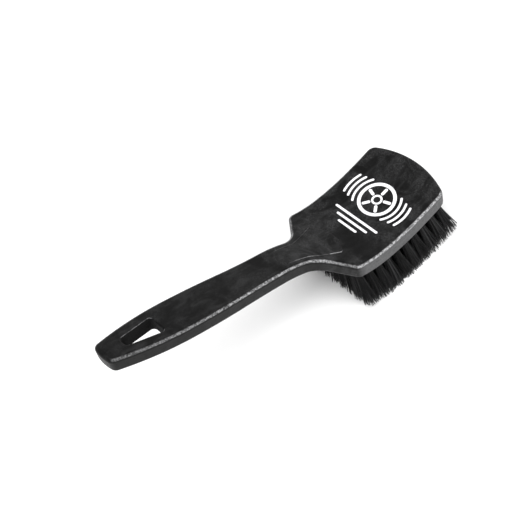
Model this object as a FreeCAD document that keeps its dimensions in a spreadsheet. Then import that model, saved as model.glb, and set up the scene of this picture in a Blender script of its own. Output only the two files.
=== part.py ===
import FreeCAD, Part
import math
import os

import Sketcher

# Wheel brush: a handle, neck and bristle block in one moulding, tufted underneath, with a printed emblem.
# The model is drawn in millimetres with x = 0 at the handle end and z = 0 at the top of the handle end.
# It is then moved as one to the row frame: +X towards the head, +Z up, the lowest tips on z = 0.

DIMENSIONS = {
    # Top line of the moulding in side view, as arcs: the length of each and the slope where it ends.
    "grip_length": 96.0,
    "grip_slope": -20.5,
    "taper_length": 29.0,
    "taper_slope": -18.7,
    "neck_length": 24.0,
    "neck_slope": -33.4,
    "root_length": 24.0,
    "root_slope": -22.2,
    "back_length": 24.5,
    "back_slope": -3.8,
    "middle_length": 24.5,
    "middle_slope": 6.4,
    "front_length": 36.0,
    "front_slope": 15.5,
    "thickness": 11.5,
    # Outline of the moulding in plan.
    "end_width": 16.0,
    "end_bulge": 1.2,
    "grip_width": 27.4,
    "grip_widest_at": 50.0,
    "waist_width": 22.6,
    "waist_at": 124.0,
    "flare_at": 135.0,
    "flare_radius": 17.0,
    "shoulder_angle": 53.0,
    "head_width": 62.0,
    "front_corner_at": 232.6,
    "front_bulge": 7.7,
    "shoulder_radius": 4.5,
    "front_radius": 6.0,
    "end_radius": 4.0,
    "edge_radius": 2.4,
    # Hang hole, a triangle with its base towards the head.
    "hole_tip_at": 14.5,
    "hole_base_at": 38.0,
    "hole_tip_width": 6.2,
    "hole_base_width": 13.6,
    "hole_corner_radius": 2.2,
    "hole_edge_radius": 0.8,
    # Raised tongue where the handle runs on into the head.
    "tongue_start_at": 102.0,
    "tongue_flare_at": 141.0,
    "tongue_shoulder_at": 161.0,
    "tongue_nose_at": 166.5,
    "tongue_start_width": 12.0,
    "tongue_flare_width": 15.0,
    "tongue_end_width": 30.0,
    "tongue_nose_width": 10.0,
    "tongue_start_sink": 0.3,
    "tongue_height": 0.8,
    "tongue_depth": 3.0,
    "tongue_corner_radius": 2.5,
    "tongue_edge_radius": 0.6,
    # Tufts and the holes they sit in.
    "first_row_at": 159.7,
    "row_pitch": 7.7,
    "column_pitch": 5.8,
    "nose_row_at": 235.8,
    "tuft_hole_radius": 2.1,
    "tuft_hole_depth": 7.0,
    "tuft_collar": 1.2,
    "tuft_end_radius": 3.3,
    "tuft_overrun": 6.0,
    "back_drop": 28.7,
    "front_drop": 27.1,
    "back_lean": 5.5,
    "front_lean": 13.7,
    "side_splay": 9.6,
    "sole_level": 0.6,
    # Flat wire staples at the bottom of the tuft holes.
    "anchor_thickness": 0.4,
    "anchor_length": 5.0,
    "anchor_height": 1.8,
    "anchor_clearance": 0.5,
    # Printed emblem: a spoked wheel between arcs of spray, over three bars.
    "ink_thickness": 0.1,
    "emblem_at": 205.0,
    "wheel_radius": 12.5,
    "wheel_band": 2.2,
    "hub_radius": 3.6,
    "hub_band": 1.3,
    "spoke_width": 2.0,
    "spoke_gap": 0.6,
    "spray_gap": 3.0,
    "spray_pitch": 3.6,
    "spray_width": 1.5,
    "spray_half_angle": 38.0,
    "bar_width": 1.6,
    "bar_pitch": 4.0,
    "bar_start": 18.5,
}
FULL_ROWS = 10
FULL_COLUMNS = 10
NOSE_COLUMNS = 4
SPOKES = 5
SPRAY_ARCS = 3
BAR_LENGTHS = (34.0, 24.0, 14.0)

# The tongue's top is a spline through stations that run on a little past its nose.
TONGUE_STEPS = 8
TONGUE_OVERRUN = 1

# How near an edge must be to count as the one looked for.
EDGE_TOLERANCE = 0.5

# Oversize of the shapes that only cut, and of the pads that they cut.
PAD_MARGIN = 2
TRIM_MARGIN = 20
TRIM_BLOCK_LENGTH = 60
TRIM_BLOCK_WIDTH = 120
TRIM_BLOCK_HEIGHT = 20
PRISM_DEPTH = 120

doc = FreeCAD.newDocument("WheelBrush")
dims = doc.addObject("Spreadsheet::Sheet", "Dims")
for sheet_row, (alias, value) in enumerate(DIMENSIONS.items(), start=1):
    dims.set(f"A{sheet_row}", alias)
    dims.set(f"B{sheet_row}", str(value))
    dims.setAlias(f"B{sheet_row}", alias)
doc.recompute()


def size(alias):
    """A dimension read back from the sheet."""
    return float(dims.get(alias))


# ---- The top line in side view ----

SECTIONS = ("grip", "taper", "neck", "root", "back", "middle", "front")


def step_along(start, slope_in, slope_out, length):
    """Where an arc ends that starts at (x, z) and turns steadily from one slope to another, in radians."""
    turn = slope_out - slope_in
    if abs(turn) < 1e-9:
        return start[0] + length * math.cos(slope_in), start[1] + length * math.sin(slope_in)
    radius = length / turn
    return (
        start[0] + radius * (math.sin(slope_out) - math.sin(slope_in)),
        start[1] + radius * (math.cos(slope_in) - math.cos(slope_out)),
    )


def top_line_arcs():
    """The top line as (start, middle, end, slope in, slope out, length) of each arc."""
    arcs = []
    point = (0.0, 0.0)
    slope = math.radians(size("grip_slope"))
    for section in SECTIONS:
        length = size(section + "_length")
        slope_out = math.radians(size(section + "_slope"))
        middle = step_along(point, slope, (slope + slope_out) / 2, length / 2)
        end = step_along(point, slope, slope_out, length)
        arcs.append((point, middle, end, slope, slope_out, length))
        point = end
        slope = slope_out
    return arcs


TOP_LINE = top_line_arcs()


def top_height(x):
    """Height of the top line at x, by halving the arc that x lies on."""
    for start, middle, end, slope_in, slope_out, length in TOP_LINE:
        if x <= end[0] or end is TOP_LINE[-1][2]:
            break
    low, high = 0.0, 1.0
    for halving in range(40):
        share = (low + high) / 2
        slope = slope_in + (slope_out - slope_in) * share
        point = step_along(start, slope_in, slope, length * share)
        if point[0] < x:
            low = share
        else:
            high = share
    return point[1]


# ---- Sketch helpers ----


def origin_plane(body, role):
    """One of a body's own origin planes."""
    return next(feature for feature in body.Origin.OriginFeatures if feature.Role == role)


def body_sketch(body, role, name):
    """A sketch on one of the body's origin planes."""
    sketch = body.newObject("Sketcher::SketchObject", name)
    sketch.AttachmentSupport = [(origin_plane(body, role), "")]
    sketch.MapMode = "FlatFace"
    return sketch


def vector(point):
    return FreeCAD.Vector(point[0], point[1], 0)


def curve_through(points):
    """A line through two points, an arc through three or a spline through more."""
    places = [vector(point) for point in points]
    if len(places) == 2:
        return Part.LineSegment(*places)
    if len(places) == 3:
        return Part.Arc(*places)
    spline = Part.BSplineCurve()
    spline.interpolate(places)
    return spline


def draw_loop(sketch, pieces):
    """Draws pieces, each a list of points, as one closed loop joined end to end."""
    first = sketch.GeometryCount
    for points in pieces:
        sketch.addGeometry(curve_through(points), False)
    indices = list(range(first, sketch.GeometryCount))
    for index, following in zip(indices, indices[1:] + indices[:1]):
        ends = min(
            ((mine, other) for mine in (1, 2) for other in (1, 2)),
            key=lambda pair: (sketch.getPoint(index, pair[0]) - sketch.getPoint(following, pair[1])).Length,
        )
        sketch.addConstraint(Sketcher.Constraint("Coincident", index, ends[0], following, ends[1]))


def bind_radius(sketch, index, name, expression):
    """Gives an arc or circle of a sketch a radius that follows the sheet."""
    constraint = sketch.addConstraint(Sketcher.Constraint("Radius", index, sketch.Geometry[index].Radius))
    sketch.renameConstraint(constraint, name)
    sketch.setExpression("Constraints." + name, expression)


def arc_between(start, end, heading):
    """The three points of the arc from start to end that leaves start along heading, in radians."""
    chord_x = end[0] - start[0]
    chord_y = end[1] - start[1]
    bend = heading - math.atan2(chord_y, chord_x)
    rise = math.tan(bend / 2) / 2
    middle = ((start[0] + end[0]) / 2 - chord_y * rise, (start[1] + end[1]) / 2 + chord_x * rise)
    return start, middle, end


def mirrored(pieces):
    """The same pieces on the other side of the x axis, in the opposite order."""
    return [tuple((x, -y) for x, y in reversed(piece)) for piece in reversed(pieces)]


def rounded_polygon(corners, radius):
    """Lines and arcs of a polygon whose corners are rounded to one radius."""
    pieces = []
    count = len(corners)
    arcs = []
    for index in range(count):
        before, corner, after = corners[index - 1], corners[index], corners[(index + 1) % count]
        inward = [math.atan2(p[1] - corner[1], p[0] - corner[0]) for p in (before, after)]
        half_angle = abs((inward[1] - inward[0] + math.pi) % (2 * math.pi) - math.pi) / 2
        reach = radius / math.tan(half_angle)
        start = (corner[0] + reach * math.cos(inward[0]), corner[1] + reach * math.sin(inward[0]))
        end = (corner[0] + reach * math.cos(inward[1]), corner[1] + reach * math.sin(inward[1]))
        arcs.append(arc_between(start, end, inward[0] + math.pi))
    for index in range(count):
        pieces.append(arcs[index])
        pieces.append((arcs[index][2], arcs[(index + 1) % count][0]))
    return pieces


# ---- The moulding ----


def side_outline(start_drop, end_drop):
    """The top line moved down by start_drop, closed through the same line moved down by end_drop."""
    upper = [tuple((x, z - start_drop) for x, z in arc[:3]) for arc in TOP_LINE]
    lower = [tuple((x, z - end_drop) for x, z in reversed(arc[:3])) for arc in reversed(TOP_LINE)]
    upper[0] = (upper[0][0], upper[0][2])
    lower[-1] = (lower[-1][0], lower[-1][2])
    front = (upper[-1][-1], lower[0][0])
    end = (lower[-1][-1], upper[0][0])
    return upper + [front] + lower + [end]


def plan_side():
    """One side of the outline in plan, from the handle end to the front corner."""
    end_corner = (size("end_bulge"), size("end_width") / 2)
    widest = (size("grip_widest_at"), size("grip_width") / 2)
    waist = (size("waist_at"), size("waist_width") / 2)
    inflection = ((widest[0] + waist[0]) / 2, (widest[1] + waist[1]) / 2)
    flare_start = (size("flare_at"), waist[1])
    shoulder = math.radians(size("shoulder_angle"))
    flare_end = (
        flare_start[0] + size("flare_radius") * math.sin(shoulder),
        flare_start[1] + size("flare_radius") * (1 - math.cos(shoulder)),
    )
    half_width = size("head_width") / 2
    back_corner = (flare_end[0] + (half_width - flare_end[1]) / math.tan(shoulder), half_width)
    front_corner = (size("front_corner_at"), half_width)
    return [
        tuple(reversed(arc_between(widest, end_corner, math.pi))),
        arc_between(widest, inflection, 0.0),
        tuple(reversed(arc_between(waist, inflection, math.pi))),
        (waist, flare_start),
        arc_between(flare_start, flare_end, 0.0),
        (flare_end, back_corner),
        (back_corner, front_corner),
    ]


def plan_outline():
    """The whole outline in plan, with sharp corners."""
    side = plan_side()
    end_x, end_y = side[0][0]
    front_x, front_y = side[-1][-1]
    front = ((front_x, front_y), (front_x + size("front_bulge"), 0.0), (front_x, -front_y))
    end = ((end_x, -end_y), (0.0, 0.0), (end_x, end_y))
    return side + [front] + mirrored(side) + [end]


def check_change(feature, before, sign):
    """Stops the script if a feature took nothing away or added nothing."""
    doc.recompute()
    change = feature.Shape.Volume - before
    if change * sign <= 0:
        raise RuntimeError(f"{feature.Label} changed the volume by {change:.1f} mm3")


def is_upright(edge):
    return edge.Curve.TypeId == "Part::GeomLine" and abs(edge.Curve.Direction.z) > 0.999


def is_outer(edge):
    """True for the edges between the walls and the top or underside, and not for seams that cross these."""
    is_cross_seam = edge.Curve.TypeId == "Part::GeomLine" and abs(edge.Curve.Direction.y) > 0.999
    return not is_upright(edge) and not is_cross_seam


def fillet(body, base, name, radius, wanted):
    """Rounds the wanted edges of the base feature to a radius of the sheet."""
    feature = body.newObject("PartDesign::Fillet", name)
    numbers = [number for number, edge in enumerate(base.Shape.Edges, start=1) if wanted(edge)]
    feature.Base = (base, [f"Edge{number}" for number in numbers])
    feature.setExpression("Radius", "Dims." + radius)
    check_change(feature, base.Shape.Volume, -1)
    return feature


def pocket_through(body, base, name, sketch):
    """Cuts a sketch of the horizontal plane through the body, up and down."""
    feature = body.newObject("PartDesign::Pocket", name)
    feature.Profile = sketch
    feature.Type = "ThroughAll"
    feature.Midplane = True
    check_change(feature, base.Shape.Volume, -1)
    return feature


def slab(name, side_pieces, width, plan_pieces):
    """A body padded across from its side outline, then trimmed to its outline in plan."""
    body = doc.addObject("PartDesign::Body", name)
    side = body_sketch(body, "XZ_Plane", name + "Side")
    draw_loop(side, side_pieces)
    pad = body.newObject("PartDesign::Pad", name + "Pad")
    pad.Profile = side
    pad.Midplane = True
    pad.setExpression("Length", f"Dims.{width} + {2 * PAD_MARGIN}")
    doc.recompute()
    plan = body_sketch(body, "XY_Plane", name + "Plan")
    draw_loop(plan, plan_pieces)
    xs = [x for piece in side_pieces for x, z in piece]
    reach = size(width) / 2 + TRIM_MARGIN
    left, right = min(xs) - TRIM_MARGIN, max(xs) + TRIM_MARGIN
    corners = [(left, -reach), (right, -reach), (right, reach), (left, reach)]
    draw_loop(plan, list(zip(corners, corners[1:] + corners[:1])))
    return body, pocket_through(body, pad, name + "Trim", plan)


def hang_hole_outline():
    tip = size("hole_tip_width") / 2
    base = size("hole_base_width") / 2
    tip_x, base_x = size("hole_tip_at"), size("hole_base_at")
    corners = [(tip_x, -tip), (base_x, -base), (base_x, base), (tip_x, tip)]
    return rounded_polygon(corners, size("hole_corner_radius"))


def on_hang_hole_rim(edge):
    """True for the edges where the hang hole meets the top and the underside of the handle."""
    box = edge.BoundBox
    after_tip = box.XMin > size("hole_tip_at") - EDGE_TOLERANCE
    before_base = box.XMax < size("hole_base_at") + EDGE_TOLERANCE
    inside_width = max(abs(box.YMin), abs(box.YMax)) < size("hole_base_width") / 2 + EDGE_TOLERANCE
    return after_tip and before_base and inside_width and not is_upright(edge)


def build_moulding():
    """Handle, neck and block as one solid, without the tongue and the tuft holes."""
    body, trim = slab("Moulding", side_outline(0.0, size("thickness")), "head_width", plan_outline())
    shoulder_x = plan_side()[-1][0][0]
    ends = fillet(body, trim, "EndCorners", "end_radius", upright_near(size("end_bulge")))
    shoulders = fillet(body, ends, "ShoulderCorners", "shoulder_radius", upright_near(shoulder_x))
    fronts = fillet(body, shoulders, "FrontCorners", "front_radius", upright_near(size("front_corner_at")))
    edges = fillet(body, fronts, "OuterEdges", "edge_radius", is_outer)
    outline = body_sketch(body, "XY_Plane", "HangHoleOutline")
    draw_loop(outline, hang_hole_outline())
    hole = pocket_through(body, edges, "HangHole", outline)
    fillet(body, hole, "HangHoleEdges", "hole_edge_radius", on_hang_hole_rim)
    return body


def upright_near(x):
    """A test for the upright edges that stand at x."""
    return lambda edge: is_upright(edge) and abs(edge.Vertexes[0].X - x) < EDGE_TOLERANCE


def build_tongue():
    """The flat top of the handle running on into the head, a little proud of it, with a curved nose."""
    start, nose = size("tongue_start_at"), size("tongue_nose_at")
    run = nose + TONGUE_OVERRUN - start
    stations = [start + run * step / TONGUE_STEPS for step in range(TONGUE_STEPS + 1)]
    sink, rise = size("tongue_start_sink"), size("tongue_height")
    top = [
        (x, top_height(x) - sink + (sink + rise) * (x - start) / (nose - start)) for x in stations
    ]
    bottom = [(x, top_height(x) - size("tongue_depth")) for x in reversed(stations)]
    side = [top, (top[-1], bottom[0]), bottom, (bottom[-1], top[0])]
    half = [
        (start, size("tongue_start_width") / 2),
        (size("tongue_flare_at"), size("tongue_flare_width") / 2),
        (size("tongue_shoulder_at"), size("tongue_end_width") / 2),
        (nose, size("tongue_nose_width") / 2),
    ]
    corners = half + [(x, -y) for x, y in reversed(half)]
    plan = rounded_polygon(corners, size("tongue_corner_radius"))
    body, trim = slab("Tongue", side, "tongue_end_width", plan)
    margin = sink + EDGE_TOLERANCE
    highest = {
        number
        for number, edge in enumerate(trim.Shape.Edges)
        if is_outer(edge) and edge.CenterOfMass.z > top_height(edge.CenterOfMass.x) - margin
    }
    numbers = iter(range(len(trim.Shape.Edges)))
    fillet(body, trim, "TongueEdges", "tongue_edge_radius", lambda edge: next(numbers) in highest)
    return body


# ---- Tufts, their holes and their anchors ----


def tuft_grid():
    """Row number, share of the way to the front, x and the y of each tuft, from the back row forward."""
    rows = []
    for row in range(FULL_ROWS):
        x = size("first_row_at") + size("row_pitch") * row
        rows.append((row / (FULL_ROWS - 1), x, FULL_COLUMNS))
    span = size("row_pitch") * (FULL_ROWS - 1)
    rows.append(((size("nose_row_at") - size("first_row_at")) / span, size("nose_row_at"), NOSE_COLUMNS))
    pitch = size("column_pitch")
    return [
        (share, x, [pitch * (column - (count - 1) / 2) for column in range(count)])
        for share, x, count in rows
    ]


def row_tip(share, x):
    """Middle of a row's tips, as (x, z)."""
    drop = size("back_drop") + (size("front_drop") - size("back_drop")) * share
    return x + drop * math.tan(row_lean(share)), top_height(x) - size("thickness") - drop


def row_lean(share):
    """How far a row leans forward, in radians."""
    return math.radians(size("back_lean") + (size("front_lean") - size("back_lean")) * share)


def tip_planes(grid):
    """Point and slope of the plane that trims each row: level along the sole, rising towards both ends."""
    tips = [row_tip(share, x) for share, x, ys in grid]
    lowest = min(z for x, z in tips)
    planes = []
    for index, (x, z) in enumerate(tips):
        before, after = tips[max(index - 1, 0)], tips[min(index + 1, len(tips) - 1)]
        slope = math.atan2(after[1] - before[1], after[0] - before[0])
        if z - lowest < size("sole_level"):
            z, slope = lowest, 0.0
        planes.append((x, z, slope))
    return planes


def tuft_axis(share, y):
    """Unit vector from a tuft's root to its tip."""
    outermost = size("column_pitch") * (FULL_COLUMNS - 1) / 2
    splay = math.radians(size("side_splay")) * y / outermost
    return FreeCAD.Vector(math.tan(row_lean(share)), math.tan(splay), -1).normalize()


def facing(axis):
    """The turn that takes +Z to an axis and keeps +Y across the brush."""
    return FreeCAD.Rotation(FreeCAD.Vector(), FreeCAD.Vector(0, 1, 0), axis, "ZYX")


def cylinder(name, point, axis, radius, height):
    """A Part::Cylinder from a point along an axis, with its sizes as expressions."""
    solid = doc.addObject("Part::Cylinder", name)
    solid.setExpression("Radius", radius)
    solid.setExpression("Height", height)
    solid.Placement = FreeCAD.Placement(point, facing(axis))
    return solid


def grouped(name, members):
    """One compound of several solids."""
    group = doc.addObject("Part::Compound", name)
    group.Links = members
    return group


def cut(name, base, tool):
    """One object with another taken out of it."""
    result = doc.addObject("Part::Cut", name)
    result.Base = base
    result.Tool = tool
    return result


def build_tuft(name, base, axis, free_length):
    """A bundle of filaments: straight in its hole and just below it, then opening towards the tips."""
    root_point = base - axis * size("tuft_hole_depth")
    root = cylinder(
        name + "Root", root_point, axis, "Dims.tuft_hole_radius", "Dims.tuft_hole_depth + Dims.tuft_collar"
    )
    spread = doc.addObject("Part::Cone", name + "Spread")
    spread.setExpression("Radius1", "Dims.tuft_hole_radius")
    spread.setExpression("Radius2", "Dims.tuft_end_radius")
    spread.Height = free_length + size("tuft_overrun")
    spread.Placement = FreeCAD.Placement(base + axis * size("tuft_collar"), facing(axis))
    tuft = doc.addObject("Part::MultiFuse", name)
    tuft.Shapes = [root, spread]
    return tuft


def build_anchor(name, base, axis):
    """A flat wire staple set across the bottom of a tuft hole, its ends bitten into the plastic."""
    anchor = doc.addObject("Part::Box", name)
    anchor.setExpression("Length", "Dims.anchor_thickness")
    anchor.setExpression("Width", "Dims.anchor_length")
    anchor.setExpression("Height", "Dims.anchor_height")
    point = base - axis * (size("tuft_hole_depth") - size("anchor_clearance"))
    turned = FreeCAD.Placement(point, facing(axis))
    centring = FreeCAD.Vector(-size("anchor_thickness") / 2, -size("anchor_length") / 2, 0)
    anchor.Placement = turned.multiply(FreeCAD.Placement(centring, FreeCAD.Rotation()))
    return anchor


def build_trim(name, plane):
    """The block below a row's trimming plane."""
    x, z, slope = plane
    trim = doc.addObject("Part::Box", name)
    trim.Length = TRIM_BLOCK_LENGTH
    trim.Width = TRIM_BLOCK_WIDTH
    trim.Height = TRIM_BLOCK_HEIGHT
    turned = FreeCAD.Placement(
        FreeCAD.Vector(x, 0, z), FreeCAD.Rotation(FreeCAD.Vector(0, 1, 0), -math.degrees(slope))
    )
    corner = FreeCAD.Vector(-TRIM_BLOCK_LENGTH / 2, -TRIM_BLOCK_WIDTH / 2, -TRIM_BLOCK_HEIGHT)
    trim.Placement = turned.multiply(FreeCAD.Placement(corner, FreeCAD.Rotation()))
    return trim


def build_tuft_rows():
    """The row of tufts and row of anchors at each station, and every tool that bores the block for them."""
    grid = tuft_grid()
    planes = tip_planes(grid)
    rows = []
    anchor_rows = []
    tools = []
    for number, ((share, x, ys), plane) in enumerate(zip(grid, planes), start=1):
        label = f"row_{number:02d}"
        tufts = []
        anchors = []
        for y in ys:
            name = f"{label}_{len(tufts) + 1}"
            axis = tuft_axis(share, y)
            base = FreeCAD.Vector(x, y, top_height(x) - size("thickness"))
            free_length = (base.z - plane[1]) / -axis.z
            tufts.append(build_tuft("Tuft_" + name, base, axis, free_length))
            anchors.append(build_anchor("Anchor_" + name, base, axis))
            bottom = base - axis * size("tuft_hole_depth")
            bore_height = "Dims.tuft_hole_depth + 2 * Dims.tuft_collar"
            tools.append(cylinder("Hole_" + name, bottom, axis, "Dims.tuft_hole_radius", bore_height))
        anchor_row = grouped("tuft_anchors_" + label, anchors)
        untrimmed = grouped("Tufts_" + label, tufts)
        waste = grouped("Waste_" + label, [build_trim("Trim_" + label, plane), anchor_row])
        rows.append(cut("bristle_" + label, untrimmed, waste))
        anchor_rows.append(anchor_row)
    return rows, anchor_rows, grouped("TuftHoles", tools + anchor_rows)


# ---- Printed emblem ----


def draw_circle(sketch, centre, radius, expression):
    index = sketch.addGeometry(Part.Circle(vector(centre), FreeCAD.Vector(0, 0, 1), radius), False)
    bind_radius(sketch, index, f"Radius{index}", expression)


def bar(centre, half_length, half_width, angle):
    """A straight bar with round ends, lying at an angle to the x axis."""
    along = (math.cos(angle), math.sin(angle))
    across = (-along[1], along[0])

    def at(forward, sideways):
        return (
            centre[0] + along[0] * forward + across[0] * sideways,
            centre[1] + along[1] * forward + across[1] * sideways,
        )

    return [
        (at(-half_length, -half_width), at(half_length, -half_width)),
        (at(half_length, -half_width), at(half_length + half_width, 0), at(half_length, half_width)),
        (at(half_length, half_width), at(-half_length, half_width)),
        (at(-half_length, half_width), at(-half_length - half_width, 0), at(-half_length, -half_width)),
    ]


def bent_bar(centre, radius, half_width, middle_angle, half_angle):
    """A bar bent round a centre, with round ends."""

    def at(distance, angle):
        return centre[0] + distance * math.cos(angle), centre[1] + distance * math.sin(angle)

    inner, outer = radius - half_width, radius + half_width
    first, last = middle_angle - half_angle, middle_angle + half_angle
    end_turn = half_width / radius
    return [
        (at(inner, last), at(inner, middle_angle), at(inner, first)),
        (at(inner, first), at(radius, first - end_turn), at(outer, first)),
        (at(outer, first), at(outer, middle_angle), at(outer, last)),
        (at(outer, last), at(radius, last + end_turn), at(inner, last)),
    ]


def build_emblem():
    """Ink on the curved top of the head: a spoked wheel, arcs of spray at its sides and bars behind it."""
    sketch = doc.addObject("Sketcher::SketchObject", "EmblemOutline")
    centre = (size("emblem_at"), 0.0)
    wheel, hub = size("wheel_radius"), size("hub_radius")
    draw_circle(sketch, centre, wheel, "Dims.wheel_radius")
    draw_circle(sketch, centre, wheel - size("wheel_band"), "Dims.wheel_radius - Dims.wheel_band")
    draw_circle(sketch, centre, hub, "Dims.hub_radius")
    draw_circle(sketch, centre, hub - size("hub_band"), "Dims.hub_radius - Dims.hub_band")
    spoke_half_width = size("spoke_width") / 2
    spoke_start = hub + size("spoke_gap") + spoke_half_width
    spoke_end = wheel - size("wheel_band") - size("spoke_gap") - spoke_half_width
    for spoke in range(SPOKES):
        angle = 2 * math.pi * spoke / SPOKES
        reach = (spoke_start + spoke_end) / 2
        middle = (centre[0] + reach * math.cos(angle), centre[1] + reach * math.sin(angle))
        draw_loop(sketch, bar(middle, (spoke_end - spoke_start) / 2, spoke_half_width, angle))
    for arc in range(SPRAY_ARCS):
        radius = wheel + size("spray_gap") + size("spray_pitch") * arc
        half_angle = math.radians(size("spray_half_angle")) / (1 + arc / 2)
        for side in (1, -1):
            draw_loop(sketch, bent_bar(centre, radius, size("spray_width") / 2, side * math.pi / 2, half_angle))
    for number, length in enumerate(BAR_LENGTHS):
        bar_centre = (centre[0] - size("bar_start") - size("bar_pitch") * number, 0.0)
        draw_loop(sketch, bar(bar_centre, length / 2, size("bar_width") / 2, math.pi / 2))
    prism = doc.addObject("Part::Extrusion", "EmblemPrism")
    prism.Base = sketch
    prism.DirMode = "Custom"
    prism.Dir = FreeCAD.Vector(0, 0, -1)
    prism.LengthFwd = PRISM_DEPTH
    prism.Solid = True
    prism.FaceMakerClass = "Part::FaceMakerBullseye"

    film_side = doc.addObject("Sketcher::SketchObject", "FilmSide")
    film_side.Placement = FreeCAD.Placement(
        FreeCAD.Vector(), FreeCAD.Rotation(FreeCAD.Vector(1, 0, 0), 90)
    )
    draw_loop(film_side, side_outline(-size("ink_thickness"), 0.0))
    film = doc.addObject("Part::Extrusion", "Film")
    film.Base = film_side
    film.DirMode = "Custom"
    film.Dir = FreeCAD.Vector(0, 1, 0)
    film.setExpression("LengthFwd", "Dims.head_width")
    film.Symmetric = True
    film.Solid = True
    emblem = doc.addObject("Part::Common", "printed_emblem")
    emblem.Base = film
    emblem.Tool = prism
    return emblem


# ---- Assembly ----


def check_document():
    """Stops the script if any object of the document failed."""
    for item in doc.Objects:
        if {"Invalid", "Error"} & set(item.State):
            raise RuntimeError(f"{item.Label} is {item.State}")


def move_to_row_frame(parts):
    """Moves every piece by one step: middle of the overall length to x = 0, lowest tips to z = 0."""
    boxes = [part.Shape.optimalBoundingBox(False) for part in parts]
    middle = (min(box.XMin for box in boxes) + max(box.XMax for box in boxes)) / 2
    lowest = min(box.ZMin for box in boxes)
    step = FreeCAD.Placement(FreeCAD.Vector(-middle, 0, -lowest), FreeCAD.Rotation())
    for part in parts:
        part.Placement = step
    doc.recompute()
    return middle, lowest


def main():
    rows, anchor_rows, holes = build_tuft_rows()
    whole = doc.addObject("Part::MultiFuse", "WholeMoulding")
    whole.Shapes = [build_moulding(), build_tongue()]
    brush_body = cut("brush_body", whole, holes)
    parts = [brush_body, build_emblem()] + rows + anchor_rows
    doc.recompute()
    check_document()
    middle, lowest = move_to_row_frame(parts)
    check_document()
    os.makedirs("parts", exist_ok=True)
    for part in parts:
        if part.Shape.isNull() or not part.Shape.isValid():
            raise RuntimeError(f"{part.Label} has no valid shape")
        part.Shape.exportStep(f"parts/{part.Label}.step")
        print(part.Label, len(part.Shape.Solids), "solids", round(part.Shape.Volume / 1000, 3), "cm3")
    print(f"row frame: x - {middle:.3f}, z - {lowest:.3f}")


main()
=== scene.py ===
import math
import random
from collections import namedtuple

import bmesh
import bpy
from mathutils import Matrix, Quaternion, Vector


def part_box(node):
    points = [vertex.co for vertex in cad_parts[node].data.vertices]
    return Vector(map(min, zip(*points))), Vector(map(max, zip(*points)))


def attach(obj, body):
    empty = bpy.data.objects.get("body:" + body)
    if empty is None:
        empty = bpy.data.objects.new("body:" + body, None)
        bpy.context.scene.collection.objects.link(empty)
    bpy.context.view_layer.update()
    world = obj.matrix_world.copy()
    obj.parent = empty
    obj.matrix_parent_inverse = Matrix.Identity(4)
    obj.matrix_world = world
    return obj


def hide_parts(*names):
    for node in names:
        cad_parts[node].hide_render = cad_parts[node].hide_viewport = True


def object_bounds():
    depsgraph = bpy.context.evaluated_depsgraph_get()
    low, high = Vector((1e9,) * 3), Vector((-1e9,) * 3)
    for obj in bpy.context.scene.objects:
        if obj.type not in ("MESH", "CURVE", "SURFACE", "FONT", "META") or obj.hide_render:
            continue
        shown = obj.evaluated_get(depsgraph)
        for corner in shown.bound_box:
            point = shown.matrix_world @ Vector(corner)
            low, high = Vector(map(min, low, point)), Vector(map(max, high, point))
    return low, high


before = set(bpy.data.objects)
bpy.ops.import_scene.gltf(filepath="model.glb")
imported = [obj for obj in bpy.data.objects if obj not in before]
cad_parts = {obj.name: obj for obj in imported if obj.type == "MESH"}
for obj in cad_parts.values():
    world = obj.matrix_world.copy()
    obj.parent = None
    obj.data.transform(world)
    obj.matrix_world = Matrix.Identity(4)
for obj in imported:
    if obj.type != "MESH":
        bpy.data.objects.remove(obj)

# Wheel brush. The moulding, the emblem and the anchors are the CAD nodes with finished materials. Each row
# of tufts is replaced by its separate filaments. Lengths are in metres, powers in watts.

MM = 0.001
CAD_LOW, CAD_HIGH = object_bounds()
CENTRE = (CAD_LOW + CAD_HIGH) / 2

# Camera: a long lens above the near side, turned so that the brush rises to the right of the picture.
VIEW_AZIMUTH = -30.16
VIEW_ELEVATION = 52.72
VIEW_ROLL = 16.49
VIEW_DISTANCE = 0.844
VIEW_AIM = CENTRE + Vector((-1.1, 16.5, -3.6)) * MM
LENS = 96.9
SENSOR_WIDTH = 36.0
CLIP_START = 0.05
CLIP_END = 50

# Studio.
FLOOR_HALF = 40.0
FLOOR_TONE = 0.9
FLOOR_ROUGHNESS = 0.9
FLOOR_SPECULAR = 0.1
SURROUND_STRENGTH = 0.75
SIDE_PLACE = Vector((0.36, -0.62, 0.3))
SIDE_AIM = Vector((0.07, 0, 0.04))
SIDE_WIDTH = 0.7
SIDE_HEIGHT = 0.22
SIDE_POWER = 4.3
TOP_PLACE = Vector((-0.5, -0.4, 1.6))
TOP_AIM = Vector((0, 0, 0))
TOP_WIDTH = 1.0
TOP_POWER = 22

# Stations along the brush.
TONGUE_REACH = 9 * MM
NECK_REACH = 35 * MM
HANDLE_END = CAD_LOW.x
HEAD_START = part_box("bristle_row_01")[0].x
TONGUE_NOSE = HEAD_START + TONGUE_REACH
NECK = HEAD_START - NECK_REACH

# Zones of the moulding: the stretch along the brush over which each one fades in or out. The painted dark
# reflection runs from the tongue's nose to under the back of the emblem. The hole zone takes in the whole
# hang hole.
ON_HEAD = (HEAD_START - 4 * MM, HEAD_START + 8 * MM)
HAZE_GROWS = (NECK - 30 * MM, HEAD_START)
EDGE_HIGHLIGHT_GROWS = (HANDLE_END, NECK)
TONGUE_WIDENS = (NECK + 17 * MM, NECK + 25 * MM)
DARK_REFLECTION_STARTS = (TONGUE_NOSE, TONGUE_NOSE + 2 * MM)
DARK_REFLECTION_ENDS = (TONGUE_NOSE + 9 * MM, TONGUE_NOSE + 22 * MM)
HOLE_STARTS = (HANDLE_END + 9 * MM, HANDLE_END + 11 * MM)
HOLE_ENDS = (HANDLE_END + 40 * MM, HANDLE_END + 42 * MM)
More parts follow.
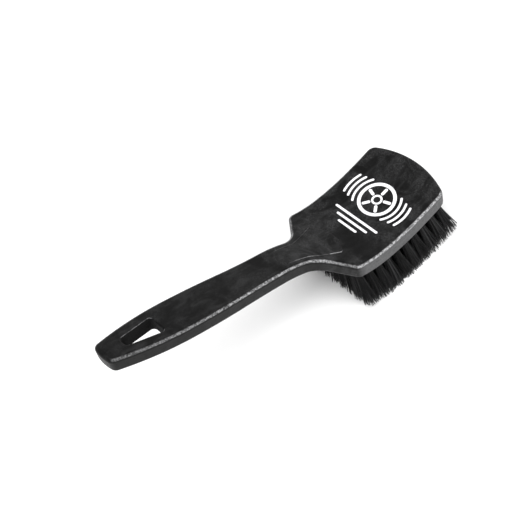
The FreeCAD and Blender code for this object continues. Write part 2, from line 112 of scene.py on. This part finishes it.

# The same across the brush, out from its middle plane. The painted dark reflection's range has a sign: the
# near side is negative.
DARK_REFLECTION_SIDE = (-1 * MM, 5 * MM)
INBOARD = (11 * MM, 13 * MM)
HOLE_SIDE = (6.6 * MM, 7.4 * MM)

# Which way a face of the moulding has to face, as ranges of the parts of its unit normal.
WALL_FACES = (0.6, 0.97)
ROUNDED_FACES = (0.28, 0.49)
STEEP_FACES = (0.3, 0.7)

# Patterns in the plastic, and the speckle of the painted edge highlight and the painted wall light: each
# noise, and the range of it that shows.
CLOUD_NOISE = dict(scale=60, detail=5, roughness=0.62, distortion=1.4)
CLOUD_SHOWS = (0.38, 0.66)
SPECK_NOISE = dict(scale=1200, detail=4, roughness=0.8)
SPECK_SHOWS = (0.42, 0.66)
STREAK_NOISE = dict(scale=1, detail=4, roughness=0.6, distortion=0.3, stretch=(9, 210, 210))
STREAK_SHOWS = (0.45, 0.7)
GLINT_NOISE = dict(scale=850, detail=5, roughness=0.9)
GLINT_SHOWS = (0.44, 0.58)
WALL_LIGHT_NOISE = dict(scale=800, detail=5, roughness=0.85)
WALL_LIGHT_SHOWS = (0.35, 0.65)
GLOSS_NOISE = dict(scale=110, detail=4, roughness=0.6, distortion=0.8)
GLOSS_SHOWS = (0.35, 0.7)
FINE_GRAIN = dict(scale=2600, detail=3, roughness=0.6)
COARSE_GRAIN = dict(scale=420, detail=3, roughness=0.6)

# How strong each part of the plastic's look is, as shares from 0 to 1, the painted dark reflection, shade,
# wall light and edge highlight among them.
SPECK_SHARE = 0.85
STREAK_SHARE = 0.4
# Share of the haze and streaks that the painted dark reflection takes out.
DARK_REFLECTION_SHARE = 0.8
HANDLE_HAZE = 0.4
GLINT_LEAST = 0.08
WALL_LIGHT_LEAST = 0.5
EDGE_HIGHLIGHT_AT_END = 0.35
TONGUE_HIGHLIGHT_CUT = 0.85
WALL_SHADE_SHARE = 0.9
EDGE_HIGHLIGHT_SHARE = 0.92
COARSE_SHARE = 0.9

# All tones run from 0, black, to 1, white, with a little more blue than red and green.
BLUE_TRACE = 1.02

# Tones of the plastic, with the painted shade on its side walls, the painted light on the block's side walls
# and the painted highlight on its edges.
PLASTIC_TONE = 0.0012
HAZE_TONE = 0.041
STREAK_TONE = 0.028
SHADED_WALL_TONE = 0.001
LIT_WALL_TONE = 0.08
EDGE_HIGHLIGHT_TONE = 0.4

# Gloss and relief of the plastic.
PLASTIC_ROUGHNESS = (0.4, 0.52)
EDGE_HIGHLIGHT_SMOOTHER = 0.1
HOLE_ROUGHER = 0.45
PLASTIC_SPECULAR = 0.14
GRAIN_DEPTH = 0.09 * MM
GRAIN_STRENGTH = 0.7

# White ink.
INK_THIN_NOISE = dict(scale=700, detail=4, roughness=0.7)
INK_THIN_SHOWS = (0.5, 0.75)
INK_TONE = 0.86
THIN_INK_TONE = 0.66
INK_GLOSS_NOISE = dict(scale=300, detail=3)
INK_GLOSS_SHOWS = (0.3, 0.7)
INK_ROUGHNESS = (0.42, 0.6)
INK_RELIEF = 0.05 * MM
INK_RELIEF_STRENGTH = 0.6

# Steel wire of the anchors.
TARNISH_NOISE = dict(scale=500, detail=4, roughness=0.6)
TARNISH_SHOWS = (0.4, 0.7)
STEEL_TONE = 0.56
TARNISHED_TONE = 0.36
DRAWN_NOISE = dict(scale=1, detail=3, roughness=0.6, stretch=(9000, 500, 9000))
DRAWN_SHOWS = (0.3, 0.7)
WIRE_ROUGHNESS = (0.28, 0.45)
WIRE_RELIEF = 0.02 * MM
WIRE_RELIEF_STRENGTH = 0.5

# Look of the filaments. Their tips are the last part of their length.
FILAMENT_TONE = 0.0003
PALE_FILAMENT_TONE = 0.048
DUST_NOISE = dict(scale=900, detail=3, roughness=0.7)
DUST_SHOWS = (0.45, 0.75)
DUST_TONE = 0.02
DUST_SHARE = 0.2
TIP_PALES = (0.86, 1.0)
TIP_TONE = 0.08
TIP_SHARE = 0.45
TIP_ROUGHENS = (0.8, 1.0)
FILAMENT_ROUGHNESS = (0.4, 0.58)
FILAMENT_SPECULAR = 0.08
FILAMENT_NOISE = dict(scale=1, detail=2, roughness=0.5, stretch=(5000, 5000, 700))
FILAMENT_RELIEF = 0.03 * MM
FILAMENT_RELIEF_STRENGTH = 0.6

# Filaments of one tuft: their number, their tubes, and where they start in the hole.
FILAMENTS = 120
FILAMENT_SIDES = 4
FILAMENT_RINGS = 6
ROOT_RADIUS = 0.18 * MM
TIP_RADIUS = 0.17 * MM
HOLE_DEPTH = 7.0 * MM
ANCHOR_REACH = 2.4 * MM
GOLDEN_ANGLE = math.pi * (3 - math.sqrt(5))

# Clumps within a tuft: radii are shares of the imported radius, angles are in radians.
CLUMPS = 8
CLUMP_RADIUS = (0.55, 0.85)
CLUMP_SWING = 0.4
CLUMP_PULL = (0.05, 0.35)
PULL_SPREAD = (0.3, 1.0)

# How the filaments open out, bend and end.
SPREAD_ACROSS = 1.12
SPREAD_ALONG = 1.8
SPLAY_POWER = 1.25
BEND = 0.9 * MM
BEND_SHARE = 0.6
WANDER = 1.15 * MM
LENGTH_SPREAD = 0.5 * MM
SHORT_SHARE = 0.08
SHORTEST = 3.5 * MM
FLOOR_GAP = 0.2 * MM

# Tone of a filament: partly its own, mostly dark with a few pale ones, and partly its clump's.
OWN_TONE_SHARE = 0.7
OWN_TONE_POWER = 4
CLUMP_TONE_SHARE = 0.3
CLUMP_TONE_POWER = 2

# Reading the CAD tufts.
WELD = 0.001 * MM
DISC_TOLERANCE = 0.01 * MM
ROOT_FACES_UP = 0.9
TIP_FACES_ALONG = 0.7

Tuft = namedtuple("Tuft", "root axis hole_radius tip tip_normal tip_radius")


# ---- Camera, floor and light ----


def make_camera():
    """The camera at its angle round the object, turned about its own axis."""
    azimuth = math.radians(VIEW_AZIMUTH)
    elevation = math.radians(VIEW_ELEVATION)
    back = Vector(
        (
            math.sin(azimuth) * math.cos(elevation),
            -math.cos(azimuth) * math.cos(elevation),
            math.sin(elevation),
        )
    )
    data = bpy.data.cameras.new("Camera")
    data.lens = LENS
    data.sensor_width = SENSOR_WIDTH
    data.clip_start = CLIP_START
    data.clip_end = CLIP_END
    camera = bpy.data.objects.new("Camera", data)
    camera.location = VIEW_AIM + back * VIEW_DISTANCE
    camera.rotation_mode = "QUATERNION"
    roll = Quaternion((0, 0, 1), -math.radians(VIEW_ROLL))
    camera.rotation_quaternion = (-back).to_track_quat("-Z", "Y") @ roll
    bpy.context.scene.collection.objects.link(camera)
    bpy.context.scene.camera = camera


def softbox(name, place, aim, width, height, power):
    """A white rectangular area light that faces a point."""
    data = bpy.data.lights.new(name, "AREA")
    data.shape = "RECTANGLE"
    data.size = width
    data.size_y = height
    data.energy = power
    light = bpy.data.objects.new(name, data)
    light.location = place
    light.rotation_mode = "QUATERNION"
    light.rotation_quaternion = (aim - light.location).to_track_quat("-Z", "Y")
    bpy.context.scene.collection.objects.link(light)


def make_studio():
    """A pale floor, an even white surround and two softboxes."""
    mesh = bpy.data.meshes.new("Floor")
    corners = [(x * FLOOR_HALF, y * FLOOR_HALF, 0) for x, y in ((-1, -1), (1, -1), (1, 1), (-1, 1))]
    mesh.from_pydata(corners, [], [(0, 1, 2, 3)])
    floor = bpy.data.objects.new("Floor", mesh)
    bpy.context.scene.collection.objects.link(floor)
    material, _, shader = new_material("Pale_floor")
    shader.inputs["Base Color"].default_value = (FLOOR_TONE, FLOOR_TONE, FLOOR_TONE, 1)
    shader.inputs["Roughness"].default_value = FLOOR_ROUGHNESS
    shader.inputs["Specular IOR Level"].default_value = FLOOR_SPECULAR
    mesh.materials.append(material)

    world = bpy.data.worlds.new("Surround")
    world.use_nodes = True
    background = world.node_tree.nodes["Background"]
    background.inputs["Color"].default_value = (1, 1, 1, 1)
    background.inputs["Strength"].default_value = SURROUND_STRENGTH
    bpy.context.scene.world = world

    softbox("Side_softbox", SIDE_PLACE, SIDE_AIM, SIDE_WIDTH, SIDE_HEIGHT, SIDE_POWER)
    softbox("Top_softbox", TOP_PLACE, TOP_AIM, TOP_WIDTH, TOP_WIDTH, TOP_POWER)
    bpy.context.scene.view_settings.view_transform = "Standard"


# ---- Node helpers ----


def new_material(name):
    """A node material with its tree and its Principled shader."""
    material = bpy.data.materials.new(name)
    material.use_nodes = True
    tree = material.node_tree
    return material, tree, tree.nodes["Principled BSDF"]


def node(tree, kind, inputs=(), **settings):
    """A new shader node; inputs are (name, number or output socket) pairs."""
    made = tree.nodes.new("ShaderNode" + kind)
    for name, value in settings.items():
        setattr(made, name, value)
    for name, value in inputs:
        if isinstance(value, bpy.types.NodeSocket):
            tree.links.new(value, made.inputs[name])
        else:
            made.inputs[name].default_value = value
    return made


def noise(tree, scale, detail, roughness=0.6, distortion=0.0, stretch=(1, 1, 1)):
    """Noise laid through the row frame, features about 1 / scale metres across."""
    place = node(tree, "TexCoord").outputs["Object"]
    stretched = node(tree, "Mapping", [("Vector", place), ("Scale", stretch)]).outputs["Vector"]
    settings = [
        ("Vector", stretched),
        ("Scale", scale),
        ("Detail", detail),
        ("Roughness", roughness),
        ("Distortion", distortion),
    ]
    return node(tree, "TexNoise", settings).outputs["Fac"]


def ranged(tree, value, low, high, to_low=0.0, to_high=1.0):
    """A value's range low to high carried smoothly to another range."""
    settings = [
        ("Value", value),
        ("From Min", low),
        ("From Max", high),
        ("To Min", to_low),
        ("To Max", to_high),
    ]
    return node(tree, "MapRange", settings, interpolation_type="SMOOTHSTEP").outputs["Result"]


def falling(tree, value, low, high):
    """One below a range, zero above it."""
    return ranged(tree, value, low, high, 1.0, 0.0)


def maths(tree, operation, first, second):
    """The result of one Math node."""
    return node(tree, "Math", [(0, first), (1, second)], operation=operation).outputs[0]


def times(tree, *factors):
    """The product of numbers and output sockets."""
    product = factors[0]
    for factor in factors[1:]:
        product = maths(tree, "MULTIPLY", product, factor)
    return product


def less(tree, value, share):
    """One less a share of a value."""
    return maths(tree, "SUBTRACT", 1.0, times(tree, value, share))


def size_of(tree, value):
    """A value without its sign."""
    return maths(tree, "ABSOLUTE", value, 0.0)


def blended(tree, share, first, second):
    """One colour going to another as share goes from 0 to 1."""
    mix = node(tree, "Mix", data_type="RGBA")
    for socket, value in ((mix.inputs[0], share), (mix.inputs[6], first), (mix.inputs[7], second)):
        if isinstance(value, bpy.types.NodeSocket):
            tree.links.new(value, socket)
        else:
            socket.default_value = value
    return mix.outputs[2]


def grey(level):
    """A grey with a trace of blue."""
    return (level, level, level * BLUE_TRACE, 1)


def bumps(tree, shader, height, distance, strength):
    """Fine relief on a shader."""
    made = node(tree, "Bump", [("Height", height), ("Distance", distance), ("Strength", strength)])
    tree.links.new(made.outputs["Normal"], shader.inputs["Normal"])


# ---- Materials ----


def mottled_with_dark_reflection(tree, along, sideways):
    """The plastic's colour before the painted shade, light and highlight: cloudy and speckled, streaked, and
    darker in a painted dark reflection on the near half in front of the tongue's nose.
    """
    cloud = ranged(tree, noise(tree, **CLOUD_NOISE), *CLOUD_SHOWS)
    speck = ranged(tree, noise(tree, **SPECK_NOISE), *SPECK_SHOWS)
    streak = ranged(tree, noise(tree, **STREAK_NOISE), *STREAK_SHOWS)
    speckled = maths(tree, "ADD", times(tree, speck, SPECK_SHARE), 1 - SPECK_SHARE)
    haze = times(tree, cloud, speckled, ranged(tree, along, *HAZE_GROWS, HANDLE_HAZE, 1.0))
    dark_reflection_starts = ranged(tree, along, *DARK_REFLECTION_STARTS)
    dark_reflection_ends = falling(tree, along, *DARK_REFLECTION_ENDS)
    # Painted dark reflection: on the near half, from the tongue's nose forward, the haze and streaks fade out
    # so the patch reads darker.
    dark_reflection = times(tree, dark_reflection_starts, dark_reflection_ends, falling(tree, sideways, *DARK_REFLECTION_SIDE))
    outside_dark_reflection = less(tree, dark_reflection, DARK_REFLECTION_SHARE)
    colour = blended(tree, times(tree, haze, outside_dark_reflection), grey(PLASTIC_TONE), grey(HAZE_TONE))
    return blended(tree, times(tree, streak, outside_dark_reflection, STREAK_SHARE), colour, grey(STREAK_TONE))


def painted_edge_highlight(tree, along, off_middle, across, upward):
    """How strong the painted highlight on a rounded upper edge is: speckled, less towards the handle's end
    and inboard on the tongue.
    """
    rounded = ranged(tree, times(tree, across, upward), *ROUNDED_FACES)
    glint = ranged(tree, noise(tree, **GLINT_NOISE), *GLINT_SHOWS, GLINT_LEAST, 1.0)
    brighter_to_neck = ranged(tree, along, *EDGE_HIGHLIGHT_GROWS, EDGE_HIGHLIGHT_AT_END, 1.0)
    on_tongue = times(tree, falling(tree, off_middle, *INBOARD), ranged(tree, along, *TONGUE_WIDENS))
    return times(tree, rounded, glint, brighter_to_neck, less(tree, on_tongue, TONGUE_HIGHLIGHT_CUT))


def round_hang_hole(tree, along, off_middle, upward):
    """One on the walls of the hang hole and on the underside beside it, zero elsewhere."""
    return times(
        tree,
        ranged(tree, along, *HOLE_STARTS),
        falling(tree, along, *HOLE_ENDS),
        falling(tree, off_middle, *HOLE_SIDE),
        falling(tree, upward, *STEEP_FACES),
    )


def moulded_plastic():
    """Satin black moulded plastic: mottling, painted shade on the side walls, painted light on the block's
    side walls, and a speckled painted highlight along the rounded upper edges.
    """
    material, tree, shader = new_material("Black_moulded_plastic")
    place = node(tree, "SeparateXYZ", [("Vector", node(tree, "TexCoord").outputs["Object"])])
    normal = node(tree, "SeparateXYZ", [("Vector", node(tree, "NewGeometry").outputs["Normal"])])
    along = place.outputs["X"]
    sideways = place.outputs["Y"]
    off_middle = size_of(tree, sideways)
    across = size_of(tree, normal.outputs["Y"])
    upward = normal.outputs["Z"]

    wall = ranged(tree, across, *WALL_FACES)
    # Painted light: the block's side walls are painted a speckled pale grey where light falls on them.
    wall_light_speckle = ranged(tree, noise(tree, **WALL_LIGHT_NOISE), *WALL_LIGHT_SHOWS, WALL_LIGHT_LEAST, 1.0)
    lit_wall = times(tree, wall, ranged(tree, along, *ON_HEAD), wall_light_speckle)
    edge_highlight = painted_edge_highlight(tree, along, off_middle, across, upward)
    colour = mottled_with_dark_reflection(tree, along, sideways)
    # Painted shade: faces that look sideways are painted near black and lose the pale haze, so the side walls
    # read darker than the top.
    colour = blended(tree, times(tree, wall, WALL_SHADE_SHARE), colour, grey(SHADED_WALL_TONE))
    colour = blended(tree, lit_wall, colour, grey(LIT_WALL_TONE))
    # Painted highlight: a speckled pale grey along the rounded upper edges, fainter towards the handle's end.
    colour = blended(tree, times(tree, edge_highlight, EDGE_HIGHLIGHT_SHARE), colour, grey(EDGE_HIGHLIGHT_TONE))
    tree.links.new(colour, shader.inputs["Base Color"])

    roughness = ranged(tree, noise(tree, **GLOSS_NOISE), *GLOSS_SHOWS, *PLASTIC_ROUGHNESS)
    roughness = maths(tree, "SUBTRACT", roughness, times(tree, edge_highlight, EDGE_HIGHLIGHT_SMOOTHER))
    hole = times(tree, round_hang_hole(tree, along, off_middle, upward), HOLE_ROUGHER)
    tree.links.new(maths(tree, "ADD", roughness, hole), shader.inputs["Roughness"])
    shader.inputs["Specular IOR Level"].default_value = PLASTIC_SPECULAR
    coarse = times(tree, noise(tree, **COARSE_GRAIN), COARSE_SHARE)
    grain = maths(tree, "ADD", noise(tree, **FINE_GRAIN), coarse)
    bumps(tree, shader, grain, GRAIN_DEPTH, GRAIN_STRENGTH)
    return material


def printed_ink():
    """White screen-printed ink, a little thin in places, with the plastic's grain under it."""
    material, tree, shader = new_material("White_printed_ink")
    thin = ranged(tree, noise(tree, **INK_THIN_NOISE), *INK_THIN_SHOWS)
    tree.links.new(blended(tree, thin, grey(INK_TONE), grey(THIN_INK_TONE)), shader.inputs["Base Color"])
    roughness = ranged(tree, noise(tree, **INK_GLOSS_NOISE), *INK_GLOSS_SHOWS, *INK_ROUGHNESS)
    tree.links.new(roughness, shader.inputs["Roughness"])
    bumps(tree, shader, noise(tree, **FINE_GRAIN), INK_RELIEF, INK_RELIEF_STRENGTH)
    return material


def anchor_wire():
    """Drawn flat steel wire: fine lines along its length and a faint film of oxide."""
    material, tree, shader = new_material("Drawn_steel_wire")
    shader.inputs["Metallic"].default_value = 1.0
    tarnish = ranged(tree, noise(tree, **TARNISH_NOISE), *TARNISH_SHOWS)
    colour = blended(tree, tarnish, grey(STEEL_TONE), grey(TARNISHED_TONE))
    tree.links.new(colour, shader.inputs["Base Color"])
    lines = noise(tree, **DRAWN_NOISE)
    tree.links.new(ranged(tree, lines, *DRAWN_SHOWS, *WIRE_ROUGHNESS), shader.inputs["Roughness"])
    bumps(tree, shader, lines, WIRE_RELIEF, WIRE_RELIEF_STRENGTH)
    return material


def bristle_filament():
    """Black extruded filament: each a slightly different tone, paler and rougher at its cut tip."""
    material, tree, shader = new_material("Black_filament")
    tone = node(tree, "Attribute", attribute_name="tone").outputs["Fac"]
    along = node(tree, "Attribute", attribute_name="along").outputs["Fac"]
    dust = ranged(tree, noise(tree, **DUST_NOISE), *DUST_SHOWS)
    tip = ranged(tree, along, *TIP_PALES)
    colour = blended(tree, tone, grey(FILAMENT_TONE), grey(PALE_FILAMENT_TONE))
    colour = blended(tree, times(tree, dust, DUST_SHARE), colour, grey(DUST_TONE))
    colour = blended(tree, times(tree, tip, TIP_SHARE), colour, grey(TIP_TONE))
    tree.links.new(colour, shader.inputs["Base Color"])
    roughness = ranged(tree, along, *TIP_ROUGHENS, *FILAMENT_ROUGHNESS)
    tree.links.new(roughness, shader.inputs["Roughness"])
    shader.inputs["Specular IOR Level"].default_value = FILAMENT_SPECULAR
    bumps(tree, shader, noise(tree, **FILAMENT_NOISE), FILAMENT_RELIEF, FILAMENT_RELIEF_STRENGTH)
    return material


# ---- Filaments ----


def islands(mesh):
    """The separate shells of a bmesh, each as a list of its faces, always in the same order."""
    left = dict.fromkeys(mesh.faces)
    shells = []
    while left:
        shell = [left.popitem()[0]]
        for face in shell:
            for edge in face.edges:
                for beside in edge.link_faces:
                    if beside in left:
                        del left[beside]
                        shell.append(beside)
        shells.append(shell)
    return shells


def weighted(faces, value):
    """The mean of a vector over faces, by area."""
    total = sum((value(face) * face.calc_area() for face in faces), Vector())
    return total / sum(face.calc_area() for face in faces)


def read_tuft(faces):
    """One tuft's root centre, axis, hole radius, tip centre, tip normal and tip radius, from its solid."""
    root_faces = [face for face in faces if face.normal.z > ROOT_FACES_UP]
    axis = -weighted(root_faces, lambda face: face.normal).normalized()
    corners = list(dict.fromkeys(corner for face in faces for corner in face.verts))
    deepest = min(corner.co.dot(axis) for corner in corners)
    disc = [corner.co for corner in corners if corner.co.dot(axis) < deepest + DISC_TOLERANCE]
    root = sum(disc, Vector()) / len(disc)
    hole_radius = max((place - root).length for place in disc)
    length = max(corner.co.dot(axis) for corner in corners) - deepest
    tips = [
        face
        for face in faces
        if face.normal.dot(axis) > TIP_FACES_ALONG
        and (face.calc_center_median() - root).dot(axis) > length / 2
    ]
    tip = weighted(tips, lambda face: face.calc_center_median())
    tip_normal = weighted(tips, lambda face: face.normal).normalized()
    tip_area = sum(face.calc_area() for face in tips)
    tip_radius = math.sqrt(tip_area * tip_normal.dot(axis) / math.pi)
    return Tuft(root, axis, hole_radius, tip, tip_normal, tip_radius)


def read_row(name):
    """The tufts of one CAD row, from one side of the brush to the other."""
    mesh = bmesh.new()
    mesh.from_mesh(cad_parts[name].data)
    bmesh.ops.remove_doubles(mesh, verts=mesh.verts, dist=WELD)
    mesh.normal_update()
    tufts = [read_tuft(faces) for faces in islands(mesh)]
    mesh.free()
    return sorted(tufts, key=lambda tuft: tuft.root.y)


def filament_line(chance, tuft, start, end):
    """Points along one filament, from inside its hole to its tip; start and end are offsets from the axis."""
    to_tip = tuft.tip - tuft.root
    reach = to_tip.dot(tuft.tip_normal) / tuft.axis.dot(tuft.tip_normal)
    slant = (end - start) / reach
    full = (to_tip - start).dot(tuft.tip_normal) / (tuft.axis + slant).dot(tuft.tip_normal)
    length = full + chance.uniform(-LENGTH_SPREAD, LENGTH_SPREAD)
    if chance.random() < SHORT_SHARE:
        length = full - chance.uniform(0, SHORTEST)
    leaning = Vector((chance.uniform(-1, 1), chance.uniform(-1, 1), 0))
    bend = tuft.axis.cross(leaning) * chance.uniform(-BEND, BEND)
    points = []
    for ring in range(FILAMENT_RINGS):
        share = ring / (FILAMENT_RINGS - 1)
        along = ANCHOR_REACH + (length - ANCHOR_REACH) * share
        free = max(0.0, (along - HOLE_DEPTH) / (full - HOLE_DEPTH))
        side = start.lerp(end, free**SPLAY_POWER) + bend * math.sin(math.pi * min(free, 1.0)) * BEND_SHARE
        point = tuft.root + tuft.axis * along + side
        point.z = max(point.z, FLOOR_GAP)
        points.append(point)
    return points


def tuft_lines(chance, tuft):
    """The filament lines of one tuft, each with its tone, and the direction across the brush."""
    across = tuft.axis.cross(Vector((1, 0, 0))).normalized()
    forward = across.cross(tuft.axis).normalized()
    packed = tuft.hole_radius - ROOT_RADIUS
    spread = tuft.tip_radius / packed
    full_turn = 2 * math.pi

    def offset(radius, angle):
        return (across * math.cos(angle) + forward * math.sin(angle)) * radius

    turn = chance.uniform(0, full_turn)
    clumps = []
    for clump in range(CLUMPS):
        radius = packed * (0.0 if clump == 0 else chance.uniform(*CLUMP_RADIUS))
        angle = turn + full_turn * clump / (CLUMPS - 1) + chance.uniform(-CLUMP_SWING, CLUMP_SWING)
        clumps.append((offset(radius, angle), chance.uniform(*CLUMP_PULL), chance.uniform(0.0, 1.0)))
    lines = []
    for number in range(FILAMENTS):
        start = offset(packed * math.sqrt((number + 0.5) / FILAMENTS), turn + number * GOLDEN_ANGLE)
        place, pull, tone = min(clumps, key=lambda clump: (clump[0] - start).length)
        drawn = start.lerp(place, pull * chance.uniform(*PULL_SPREAD)) * spread
        end = across * drawn.dot(across) * SPREAD_ACROSS + forward * drawn.dot(forward) * SPREAD_ALONG
        end = end + offset(chance.uniform(0, WANDER), chance.uniform(0, full_turn))
        shade = OWN_TONE_SHARE * chance.random() ** OWN_TONE_POWER + CLUMP_TONE_SHARE * tone**CLUMP_TONE_POWER
        lines.append((filament_line(chance, tuft, start, end), shade))
    return lines, across


def add_filament(points, across, shade, vertices, faces, tones, alongs):
    """A closed tube with a few sides round the points of one filament."""
    first = len(vertices)
    last = len(points) - 1
    for ring, point in enumerate(points):
        heading = (points[min(ring + 1, last)] - points[max(ring - 1, 0)]).normalized()
        sideways = heading.cross(across).normalized()
        upright = heading.cross(sideways)
        radius = ROOT_RADIUS + (TIP_RADIUS - ROOT_RADIUS) * ring / last
        for side in range(FILAMENT_SIDES):
            angle = 2 * math.pi * side / FILAMENT_SIDES
            vertices.append(point + (sideways * math.cos(angle) + upright * math.sin(angle)) * radius)
            tones.append(shade)
            alongs.append(ring / last)
    for ring in range(last):
        low = first + ring * FILAMENT_SIDES
        high = low + FILAMENT_SIDES
        for side in range(FILAMENT_SIDES):
            beside = (side + 1) % FILAMENT_SIDES
            faces.append((low + side, low + beside, high + beside, high + side))
    top = first + last * FILAMENT_SIDES
    faces.append(tuple(first + side for side in reversed(range(FILAMENT_SIDES))))
    faces.append(tuple(top + side for side in range(FILAMENT_SIDES)))


def make_row(name, number, material):
    """All the filaments of one row as one piece, in place of the row's CAD tufts."""
    chance = random.Random(number)
    vertices, faces, tones, alongs = [], [], [], []
    for tuft in read_row(name):
        lines, across = tuft_lines(chance, tuft)
        for points, shade in lines:
            add_filament(points, across, shade, vertices, faces, tones, alongs)
    mesh = bpy.data.meshes.new("Filaments_" + name)
    mesh.from_pydata(vertices, [], faces)
    mesh.shade_smooth()
    for attribute, values in (("tone", tones), ("along", alongs)):
        mesh.attributes.new(attribute, "FLOAT", "POINT").data.foreach_set("value", values)
    mesh.materials.append(material)
    piece = bpy.data.objects.new("Filaments_" + name, mesh)
    bpy.context.scene.collection.objects.link(piece)
    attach(piece, "root")
    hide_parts(name)


def dress(name, material):
    """Gives a CAD node a material."""
    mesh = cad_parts[name].data
    mesh.materials.clear()
    mesh.materials.append(material)


# ---- The scene ----

make_camera()
make_studio()
dress("brush_body", moulded_plastic())
dress("printed_emblem", printed_ink())
steel = anchor_wire()
filament = bristle_filament()
rows = sorted(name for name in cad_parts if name.startswith("bristle_row"))
for number, name in enumerate(rows, start=1):
    make_row(name, number, filament)
    dress(name.replace("bristle", "tuft_anchors"), steel)
